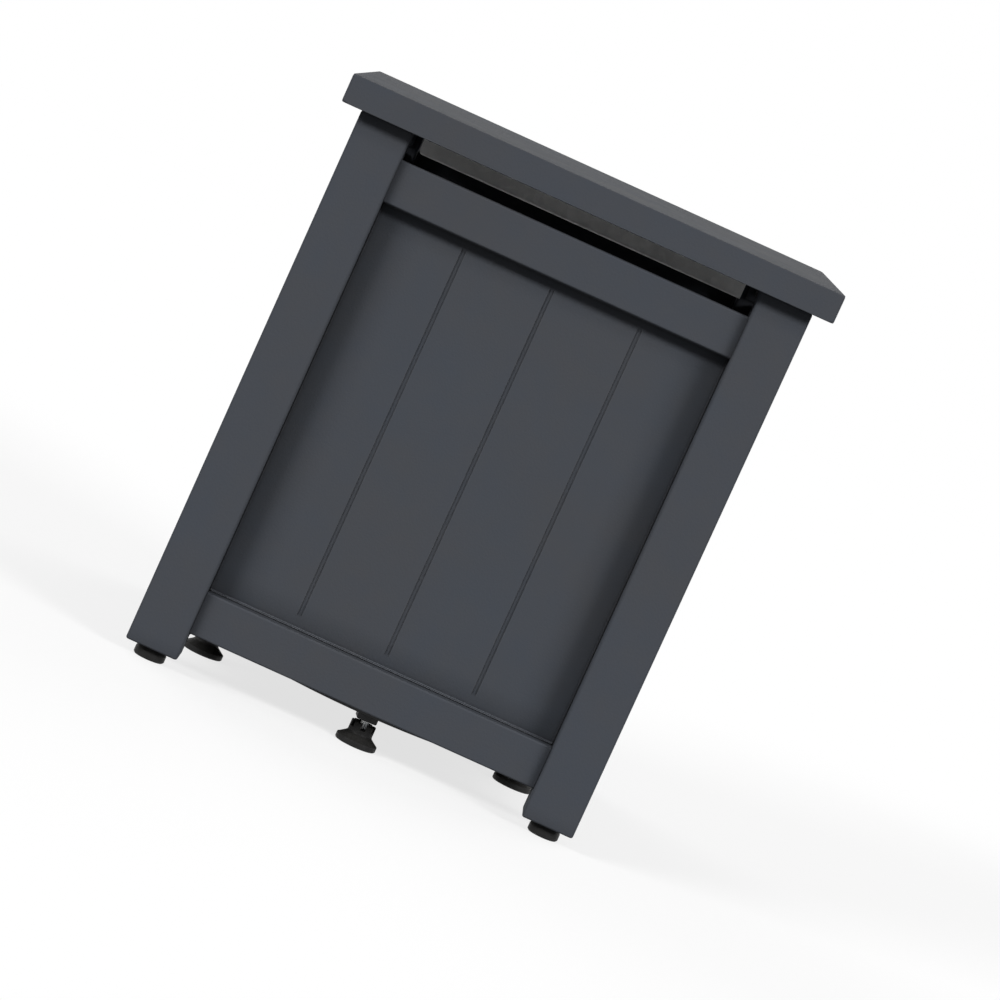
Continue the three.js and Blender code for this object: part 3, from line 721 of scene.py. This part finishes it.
def folded_tray(half, low, high):
    """Grid of a square tray, open below inside its lip. A column runs round the sheet's section, at an
    inset from the corner's arc: centre + (corner radius - inset) * outward. The edges' radius grows
    towards each corner with cos^2 of the distance along the rim, as where a weld is ground round."""
    straight, turn = TOP_GROUND_COLUMNS, np.linspace(0, math.pi / 2, 9)
    count = len(straight)
    arc = np.stack([np.cos(turn), np.sin(turn)], axis=-1)
    outward = np.concatenate([np.tile([1.0, 0.0], (count, 1)), arc, np.tile([0.0, 1.0], (count, 1))])
    along = np.zeros_like(outward)
    along[:count, 1] = -straight
    along[-count:, 0] = -straight[::-1]
    rim = np.concatenate([straight, 0 * turn, straight[::-1]]) + TOP_CORNER * np.abs(
        np.arctan2(outward[:, 1], outward[:, 0]) - math.pi / 4)
    near = np.cos(math.pi / 2 * np.minimum(rim / TOP_GROUND_REACH, 1)) ** 2
    edge = TOP_EDGE + (TOP_GROUND_EDGE - TOP_EDGE) * near
    rise = np.linspace(math.pi / 2, 0, 6)[:, None]
    inset, drop = edge * (1 - np.cos(rise)), edge * (1 - np.sin(rise))
    lip = TOP_LIP + 0 * edge
    wall = TOP_SHEET + TOP_CORNER_WELD * near
    insets = np.vstack([inset, inset[::-1], lip, lip, wall, wall])
    heights = np.vstack([high - drop, low + drop[::-1], low + 0 * edge, low + TOP_SHEET + 0 * edge,
                         low + TOP_SHEET + 0 * edge, high - TOP_SHEET + 0 * edge])
    radius = np.maximum(TOP_CORNER - insets, 0)[..., None]
    flat = (half - insets)[..., None] - radius + radius * outward + along
    corner = np.concatenate([flat, heights[..., None]], axis=-1)
    return np.concatenate([about_z(corner, 90 * index) for index in range(4)], axis=1) * MM


def add_tabletop():
    """The folded tabletop, whose corners are welded and ground round."""
    low, high = node_box("tabletop")
    tray = folded_tray(high[0] / MM, low[2] / MM, high[2] / MM)
    weigh_normals(replace_node("tabletop", "folded", [(tray, False, True)], "table_frame"))


# The hat channel under the tabletop, in millimetres: its flanges, its sheet, the radius of the bends at
# its web and that of the rounded corner at its left end
CHANNEL_FLANGE = 12
CHANNEL_SHEET = 1.2
CHANNEL_BEND = 2.5
CHANNEL_END_CORNER = 3.5


def hat_channel(low, high):
    """Grid of a hat channel along X, whose four rows are its outer and its inner line at both ends. A
    line is one flange, wall and bend, then the same mirrored in Y. The left end draws in near the
    web as an arc does: by R - sqrt(R^2 - (R - height)^2), with R the end corner's radius."""
    half = high[1] - CHANNEL_FLANGE
    top = high[2] - CHANNEL_SHEET
    bend = np.linspace(0, math.pi / 2, 9)
    heights = np.linspace(top - low[2], CHANNEL_BEND, 13)[1:-1]
    lines = []
    for inset in (0, CHANNEL_SHEET):
        radius, wall, floor = CHANNEL_BEND - inset, inset - half, low[2] + inset
        flange = np.array([(-high[1], top + inset), (wall, top + inset)])
        upright = np.column_stack([np.full_like(heights, wall), low[2] + heights])
        arc = np.column_stack([wall + radius * (1 - np.cos(bend)), floor + radius * (1 - np.sin(bend))])
        side = np.concatenate([flange, upright, arc])
        lines.append(np.concatenate([side, side[::-1] * [-1, 1]]))
    outer, inner = lines
    rows = []
    for line, left in ((outer, True), (outer, False), (inner, False), (inner, True)):
        ends = np.full(len(line), low[0] if left else high[0])
        if left:
            short = CHANNEL_END_CORNER - np.minimum(line[:, 1] - low[2], CHANNEL_END_CORNER)
            ends += CHANNEL_END_CORNER - np.sqrt(CHANNEL_END_CORNER ** 2 - short ** 2)
        rows.append(np.column_stack([ends, line]))
    return np.stack(rows) * MM


def add_stiffener():
    """The hat channel, with the lower corner of its left end rounded."""
    low, high = node_box("top_stiffener")
    channel = hat_channel(low / MM, high / MM)
    weigh_normals(replace_node("top_stiffener", "folded", [(channel, True, False)], "bare_sheet"))


def finish_table():
    """The table's tube, panel and bracket pieces."""
    for corner in CORNERS:
        finish_node("leg_" + corner, "table_frame", EDGE_RADII["tube"])
        finish_node("corner_bracket_" + corner, "table_frame", EDGE_RADII["bar"])
    for side in SIDES:
        finish_node("upper_rail_" + side, "table_frame", EDGE_RADII["tube"])
        finish_node("lower_rail_" + side, "table_frame", EDGE_RADII["tube"])
        finish_node("side_panel_" + side, "side_panel", EDGE_RADII["sheet"])


# The outer ring's flat bar and the radius of its edges
RING_BAR = 4 * MM
RING_EDGE = 0.7 * MM


def finish_stand():
    """The stand's bars and lugs. The outer ring is turned from a rounded section."""
    finish_node("collar", "stand_steel", EDGE_RADII["bar"])
    for side in SIDES:
        for stem in ("spoke_", "rest_tab_", "foot_lug_"):
            finish_node(stem + side, "stand_steel", EDGE_RADII["bar"])
    low, high = node_box("outer_ring")
    outer, inner = high[0], high[0] - RING_BAR
    middle = (outer + inner) / 2
    rows = [(middle, low[2], 0), (outer, low[2], RING_EDGE), (outer, high[2], RING_EDGE),
            (inner, high[2], RING_EDGE), (inner, low[2], RING_EDGE), (middle, low[2], 0)]
    section = rounded_profile(rows)[:-1]
    replace_node("outer_ring", "turned", [(lathe(section, sides=256), True, True)], "stand_steel")


def add_studs():
    """Threaded studs for the levelling feet."""
    names = ["table_stud_" + corner for corner in CORNERS] + ["stand_stud_" + side for side in SIDES]
    for name in names:
        foot, height = node_foot(name)
        rod = threaded_rod(THREAD_RADIUS, THREAD_PITCH, height) + foot
        replace_node(name, "threaded", [(rod, False, False)], "zinc", sharp_angle=28)


# Widths across the nuts' flats, the boss's length and where it starts, and the height of the wing bolt
LEG_NUT_WIDTH = 13 * MM
BOSS_WIDTH = 14 * MM
BOSS_LENGTH = 8 * MM
BOSS_START = 107.3 * MM
BOLT_HEIGHT = 43.5 * MM


def add_nuts():
    """Nuts with chamfered corners on the legs' end plates, and the boss that the wing bolt runs in."""
    bore = THREAD_RADIUS + THREAD_CLEARANCE
    for corner in CORNERS:
        name = "leg_nut_" + corner
        foot, height = node_foot(name)
        nut = hex_nut(LEG_NUT_WIDTH, height, bore) + foot
        replace_node(name, "chamfered", [(nut, True, True)], "zinc", sharp_angle=20)
    boss = onto_x(hex_nut(BOSS_WIDTH, BOSS_LENGTH, bore)) + [BOSS_START, 0, BOLT_HEIGHT]
    placed = about_z(boss, BOLT_TURN)
    replace_node("bolt_boss", "chamfered", [(placed, True, True)], "stand_steel", sharp_angle=20)


# A table foot's outline, in millimetres: rows of (across, up, rounding) from its sole's middle to its bore
TABLE_FOOT = [(0, 0, 0), (9.6, 0, 0), (10, 0.5, 0.2), (12.6, 0.5, 0.2), (13, 0, 0.2), (13.6, 0, 0.2),
              (15, 1.4, 0.8), (15, 7, 1.4), (13.1, 11.7, 0.8), (4.6, 11.7, 0.3), (4.3, 11.3, 0),
              (4.3, 5.7, 0), (0, 5.7, 0)]


def add_table_feet():
    """Round moulded feet: a rim with soft edges, a sloping top and a bore that takes the stud."""
    disc = lathe(rounded_profile(TABLE_FOOT) * MM, sides=96)
    for corner in CORNERS:
        name = "table_foot_" + corner
        placed = disc + node_foot(name)[0]
        replace_node(name, "moulded", [(placed, False, True)], "foot_plastic")


# The stand's levelling pad, in millimetres: its hub and socket, its notches, and its outline in three
# parts: rim, wall and bore. In a notch its floor takes the wall's place, with shares of the way along it.
PAD_HUB = 12
PAD_SOCKET = 6.9
PAD_NOTCHES = 6
PAD_NOTCH_HALF = 2.25
PAD_RIM = [(0, 0, 0), (16, 0, 0), (16.5, 0.6, 0.2), (18.4, 0.6, 0.2), (18.8, 0, 0.2), (19.2, 0, 0.2),
           (20, 0.8, 0.4), (20, 5.4, 0.8), (18.6, 6.2, 0.6), (PAD_HUB, 11, 3), (PAD_HUB, 15.4, 0)]
PAD_WALL = [(PAD_HUB, 15.9, 0), (PAD_HUB, 22, 0.7), (8, 22, 0.6), (8, 17, 0.6), (PAD_SOCKET, 17, 0)]
PAD_FLOOR = ((PAD_HUB, PAD_HUB, PAD_SOCKET, PAD_SOCKET), (15.9, 16, 16, 17))
PAD_FLOOR_SHARES = (0, 0.05, 0.95, 1)
PAD_BORE = [(4.9, 17), (4.3, 16.4), (4.3, 9), (0, 9)]

# Where a notch and the tooth beside it have columns, as shares of the notch's half and of the tooth
PAD_NOTCH_SHARES = np.array([-1, -0.33, 0.33, 1])
PAD_TOOTH_SHARES = np.linspace(0, 1, 7)


def castellated_pad():
    """Grid of a levelling pad along +Z: a disc, a sloping shoulder and a hub whose rim has six
    parallel-walled notches. A column at a notch's wall lies at the angle asin(half width / r) from
    the notch's middle, so that the wall is flat. Columns inside a notch follow a lower line."""
    rim, wall = rounded_profile(PAD_RIM), rounded_profile(PAD_WALL)
    share = np.linspace(0, 1, len(wall))
    floor = np.stack([np.interp(share, PAD_FLOOR_SHARES, places) for places in PAD_FLOOR], axis=-1)
    grids = []
    for middle in full_circle(PAD_NOTCHES):
        for part in (floor, wall):
            line = np.concatenate([rim, part, PAD_BORE])
            half = np.arcsin(PAD_NOTCH_HALF / np.clip(line[:, :1], PAD_SOCKET, PAD_HUB))
            if part is floor:
                angle = middle + half * PAD_NOTCH_SHARES
            else:
                angle = middle + half + (FULL_TURN / PAD_NOTCHES - 2 * half) * PAD_TOOTH_SHARES
            grids.append(turned(line[:, :1], line[:, 1:], angle))
    return np.concatenate(grids, axis=1) * MM


def add_stand_pads():
    """The stand's levelling pads."""
    pad = castellated_pad()
    for index, side in enumerate(SIDES):
        name = "stand_foot_" + side
        placed = about_z(pad, spoke_turn(index)) + node_foot(name)[0]
        replace_node(name, "moulded", [(placed, False, True)], "foot_plastic", sharp_angle=40)


# The wing bolt: how far its tip is from the middle, where its hub starts along it and how far the thread
# runs into that, the hub's outline in millimetres, and where a wing is on the hub and how far it leans
BOLT_TIP = 102 * MM
HUB_START = 28.3 * MM
HUB_THREAD = 4 * MM
HUB = [(0, 0, 0), (4.6, 0, 0), (5.5, 0.9, 0.3), (5.5, 5.6, 1.4), (4.1, 9, 1.2), (0, 9, 0)]
WING_PLACE = (8.75 * MM, 11 * MM, 0)
WING_LEAN = 28

# A wing's band, in millimetres: its middle's oval along and across, half its width there and half its
# thickness. The squareness is the power that fills out its section's corners.
WING_OVAL = (6.65, 5.65)
WING_BAND = (1.85, 1.57)
WING_HALF = 1.5
WING_SQUARENESS = 0.8


def wing_loop():
    """Grid of one looped wing about Z: an oval ring ((a + b cos v) cos u, (c + d cos v) sin u, e sin v),
    with the size of v's sine and cosine raised to the squareness."""
    u = full_circle(56)[:, None]
    v = full_circle(16)
    bulge = np.sign(np.cos(v)) * np.abs(np.cos(v)) ** WING_SQUARENESS
    rise = np.sign(np.sin(v)) * np.abs(np.sin(v)) ** WING_SQUARENESS
    x = (WING_OVAL[0] + WING_BAND[0] * bulge) * np.cos(u)
    y = (WING_OVAL[1] + WING_BAND[1] * bulge) * np.sin(u)
    return np.stack([x, y, WING_HALF * rise + 0 * u], axis=-1) * MM


def add_wing_bolt():
    """A threaded shank, a turned hub and two looped wings that lean back."""
    hub_start = [HUB_START, 0, 0]
    shank = onto_x(threaded_rod(THREAD_RADIUS, THREAD_PITCH, HUB_START + HUB_THREAD))
    hub = onto_x(lathe(rounded_profile(HUB) * MM, sides=48)) + hub_start
    surfaces = [(shank, False, False), (hub, False, True)]
    for side in (1, -1):
        loop = about_z(wing_loop(), WING_LEAN) + WING_PLACE
        surfaces.append((loop * [1, side, side] + hub_start, True, True))
    placed = [(about_z(points + [BOLT_TIP, 0, BOLT_HEIGHT], BOLT_TURN), rows, columns)
              for points, rows, columns in surfaces]
    replace_node("wing_bolt", "threaded", placed, "zinc", sharp_angle=28)


# The side pin's outline, in millimetres, its height, and its angle about Z
PIN = [(0, 0, 0), (2.5, 0, 0), (2.5, 13, 2.3), (0, 13, 0)]
PIN_HEIGHT = 40 * MM
PIN_TURN = 180


def add_side_pin():
    """A round pin with a domed end, welded to the ring's left side."""
    root = node_box("side_pin")[1][0]
    pin = onto_x(lathe(rounded_profile(PIN, steps=8) * MM, sides=40))
    placed = about_z(pin, PIN_TURN) + [root, 0, PIN_HEIGHT]
    replace_node("side_pin", "turned", [(placed, False, True)], "stand_steel")


# A bracket screw, in millimetres: its crown's foot, rise and first row, and its outline
CROWN_ACROSS = 2.6
CROWN_UP = 2.5
CROWN_RISE = 0.25
CROWN_FIRST = 2.3
SCREW = [(0, -7.2, 0), (1.2, -7.2, 0), (2.1, -6.3, 0.3), (2.1, 0, 0), (4.1, 0, 0), (4.2, 0.3, 0.1),
         (4.0, 1.6, 1.0), (CROWN_ACROSS, CROWN_UP, 2.0), (0, CROWN_UP + CROWN_RISE, 0)]

# Its cross recess, in millimetres: half an arm's width and its reach, how soon its sides and its end slope
# off, its depth, the share of that lost at its end, and the height above which the head has it
RECESS_HALF = 0.62
RECESS_REACH = 2.15
RECESS_SIDE = 0.16
RECESS_END = 0.25
RECESS_DEPTH = 1.3
RECESS_LOSS_SHARE = 0.25
RECESS_ABOVE = 2

# Where a bracket's screws are: the sheet under their heads, how far they are from its fold, and for each
# pair its place across and how far the recesses of its upward and its sideways screw are turned
BRACKET_SHEET = 2.5 * MM
SCREW_FROM_FOLD = 15.2 * MM
SCREW_PAIRS = ((-9 * MM, 20, 61), (9 * MM, 57, 13))


def pan_head_screw():
    """Grid of a screw along +Z with its head's underside at zero. The head is a dome with a cross
    recess: the height drops where the distance to one of the two arms is small."""
    crown = np.linspace(CROWN_FIRST, 0, 14)[:, None]
    crown = np.hstack([crown, CROWN_UP + CROWN_RISE * (1 - crown / CROWN_ACROSS)])
    head = lathe(np.concatenate([rounded_profile(SCREW, steps=5)[:-1], crown]), sides=64)
    near = np.minimum(np.abs(head[..., 0]), np.abs(head[..., 1]))
    reach = np.hypot(head[..., 0], head[..., 1])
    sunk = np.clip((RECESS_HALF - near) / RECESS_SIDE, 0, 1) * (head[..., 2] > RECESS_ABOVE)
    sunk = sunk * np.clip((RECESS_REACH - reach) / RECESS_END, 0, 1)
    head[..., 2] -= RECESS_DEPTH * sunk * (1 - RECESS_LOSS_SHARE * reach / RECESS_REACH)
    return head * MM


def add_screws():
    """Four screws in each corner bracket: two up into the tabletop and two sideways into the leg."""
    screw = pan_head_screw()
    surfaces = []
    for corner in CORNERS:
        low, high = node_box("corner_bracket_" + corner)
        middle = (low[0] + high[0]) / 2
        face, inward = (low[1], 1) if low[1] < 0 else (high[1], -1)
        for offset, up_turn, side_turn in SCREW_PAIRS:
            upward = about_z(screw * [1, -1, -1], up_turn)
            place = [middle + offset, face + inward * SCREW_FROM_FOLD, high[2] - BRACKET_SHEET]
            surfaces.append((upward + place, False, True))
            x, y, z = np.moveaxis(about_z(screw, side_turn), -1, 0)
            sideways = np.stack([x, inward * z, -inward * y], axis=-1)
            place = [middle + offset, face + inward * BRACKET_SHEET, high[2] - SCREW_FROM_FOLD]
            surfaces.append((sideways + place, False, True))
    mesh = closed_mesh("bracket_screws", surfaces)
    add_piece("bracket_screws", mesh, "cover", "stand_steel", sharp_angle=30)


# Welds inside one side of the table, in millimetres: (y, z) of both ends and the radius, left and right
FRAME_WELDS_ACROSS = 171.7
FRAME_WELDS = [
    ((-192.7, 470.5), (-192.7, 509), 1.5),
    ((-192.7, 39.5), (-192.7, 78.5), 1.5),
    ((-213, 38.3), (-195, 38.3), 1.2),
    ((-194.2, 110), (-194.2, 124), 1.2),
    ((-194.2, 266), (-194.2, 280), 1.2),
    ((-194.2, 424), (-194.2, 438), 1.2),
]

# Welds of a spoke along X whose lug is at positive y, in millimetres: (x, y, z) of both ends and the
# radius. Then the sign of y at which each spoke's lug is.
SPOKE_WELDS = [
    ((107.2, -2.1, 32.5), (107.2, -2.1, 54.5), 1.5),
    ((107.2, 2.1, 32.5), (107.2, 2.1, 54.5), 1.5),
    ((173.3, -2.1, 32.5), (173.3, -2.1, 54.5), 1.5),
    ((173.3, 2.1, 42.5), (173.3, 2.1, 54.5), 1.5),
    ((153.5, 2.2, 41.1), (170.5, 2.2, 41.1), 1.4),
    ((151.8, 2.2, 32), (151.8, 2.2, 40), 1.3),
    ((102.1, -11, 35.1), (102.1, 11, 35.1), 1.1),
]
LUG_HANDS = (-1, -1, 1, 1)

# The seams of the outer ring and the collar, in millimetres and degrees: (distance from the middle,
# angle), then their lower and upper end and their radius
RING_SEAMS = ((173.4, 118), (102.9, 158))
RING_SEAM_ENDS = (32, 55)
RING_SEAM_RADIUS = 1.1

# Round welds of the boss and the pin: (distance from the middle, radius round the piece, the weld's own
# radius, sides, height, angle)
ROUND_WELDS = ((107.2 * MM, 7.6 * MM, 1.2 * MM, 72, BOLT_HEIGHT, BOLT_TURN),
               (177.6 * MM, 2.9 * MM, 0.8 * MM, 48, PIN_HEIGHT, PIN_TURN))


def add_frame_welds():
    """Coated welds on the inside: rails to legs, and tacks between the panels and the legs."""
    surfaces = []
    for index in range(4):
        for across in (-FRAME_WELDS_ACROSS, FRAME_WELDS_ACROSS):
            for start, end, radius in FRAME_WELDS:
                bead = weld_bead([across, *start], [across, *end], radius) * MM
                surfaces.append((about_z(bead, 90 * index), False, True))
    add_piece("frame_welds", closed_mesh("frame_welds", surfaces), "cover", "table_frame", sharp_angle=60)


def add_stand_welds():
    """Painted welds of the stand: spokes, lugs, tabs, the bolt's boss, the pin and the rings' seams."""
    surfaces = []
    for index, hand in enumerate(LUG_HANDS):
        mirror = np.array([1, hand, 1])
        for start, end, radius in SPOKE_WELDS:
            bead = weld_bead(start * mirror, end * mirror, radius) * MM
            surfaces.append((about_z(bead, spoke_turn(index)), False, True))
    for distance, angle in RING_SEAMS:
        low, high = ((distance, 0, height) for height in RING_SEAM_ENDS)
        bead = weld_bead(low, high, RING_SEAM_RADIUS) * MM
        surfaces.append((about_z(bead, angle), False, True))
    for distance, around, radius, sides, height, angle in ROUND_WELDS:
        ring = onto_x(weld_ring(around, radius, sides)) + [distance, 0, height]
        surfaces.append((about_z(ring, angle), True, True))
    add_piece("stand_welds", closed_mesh("stand_welds", surfaces), "stand", "stand_steel", sharp_angle=60)


# Floor, background and light
FLOOR_SIZE = 14.0
FLOOR_DROP = 0.2 * MM
FLOOR_COLOUR = (0.28, 0.28, 0.28, 1)
FLOOR_GLOW = 0.74
WORLD_LIGHT = 0.2

# Lamps: their azimuths, how wide they are in the sky and how strong, the rise of the front strips and the
# elevation of the back lamps
FRONT_AZIMUTHS = (38, 47, 56)
FRONT_RISE = 0.61
FRONT_SPREAD = 11
FRONT_STRENGTH = 0.67
BACK_AZIMUTH = 135
BACK_ELEVATION = 26
BACK_SPREAD = 50
BACK_STRENGTH = 0.88


def seen_directly(tree):
    """1 where the camera, a reflection or a clear piece looks at the surface, and 0 for its light."""
    path = add_node(tree, "ShaderNodeLightPath")
    either = add_math(tree, "MAXIMUM", path.outputs["Is Camera Ray"], path.outputs["Is Glossy Ray"])
    return add_math(tree, "MAXIMUM", either, path.outputs["Is Transmission Ray"])


def add_floor():
    """A wide pale plane just under the feet. Its own glow, seen only directly, brings it to white."""
    half = FLOOR_SIZE / 2
    mesh = bpy.data.meshes.new("floor")
    corners = ((-half, -half), (half, -half), (half, half), (-half, half))
    mesh.from_pydata([(x, y, -FLOOR_DROP) for x, y in corners], [], [(0, 1, 2, 3)])
    floor = bpy.data.objects.new("floor", mesh)
    bpy.context.scene.collection.objects.link(floor)
    material, tree, shader = new_material("pale floor", 0.9)[:3]
    shader.inputs["Base Color"].default_value = FLOOR_COLOUR
    shader.inputs["Specular IOR Level"].default_value = 0.0
    shader.inputs["Emission Color"].default_value = (1, 1, 1, 1)
    glow = add_math(tree, "MULTIPLY", seen_directly(tree), FLOOR_GLOW)
    tree.links.new(glow, shader.inputs["Emission Strength"])
    mesh.materials.append(material)


def add_world():
    """White all round where it is seen, and a plain even light on the object."""
    world = bpy.data.worlds.new("studio")
    world.use_nodes = True
    tree = world.node_tree
    shade = tree.nodes["Background"]
    shade.inputs["Color"].default_value = (1, 1, 1, 1)
    strength = add_range(tree, seen_directly(tree), 0, 1, WORLD_LIGHT, 1.0)
    tree.links.new(strength, shade.inputs["Strength"])
    bpy.context.scene.world = world


def add_lamp(name, azimuth, elevation, spread, strength):
    """A wide, far lamp. It stands at azimuth degrees to the right of the table's front and elevation
    degrees up, and covers spread degrees of the sky."""
    lamp = bpy.data.objects.new(name, bpy.data.lights.new(name, "SUN"))
    lamp.data.angle = math.radians(spread)
    lamp.data.energy = strength
    side, rise = math.radians(azimuth), math.radians(elevation)
    back = Vector((math.sin(side) * math.cos(rise), -math.cos(side) * math.cos(rise), math.sin(rise)))
    lamp.rotation_mode = "QUATERNION"
    lamp.rotation_quaternion = back.to_track_quat("Z", "Y")
    bpy.context.scene.collection.objects.link(lamp)


def add_lights():
    """A wide, low strip of soft lamps on each side of the front, and a lamp on each side behind. Along a
    strip the elevation is atan(rise cos azimuth), so that a ledge's shadow is equally deep all along."""
    for side in (-1, 1):
        for azimuth in FRONT_AZIMUTHS:
            elevation = math.degrees(math.atan(FRONT_RISE * math.cos(math.radians(azimuth))))
            add_lamp("front lamp", azimuth * side, elevation, FRONT_SPREAD, FRONT_STRENGTH)
        add_lamp("back lamp", BACK_AZIMUTH * side, BACK_ELEVATION, BACK_SPREAD, BACK_STRENGTH)


add_tabletop()
add_stiffener()
finish_table()
finish_stand()
add_studs()
add_nuts()
add_table_feet()
add_stand_pads()
add_wing_bolt()
add_side_pin()
add_screws()
add_frame_welds()
add_stand_welds()
add_camera()
add_floor()
add_world()
add_lights()
bpy.context.scene.view_settings.view_transform = "Standard"
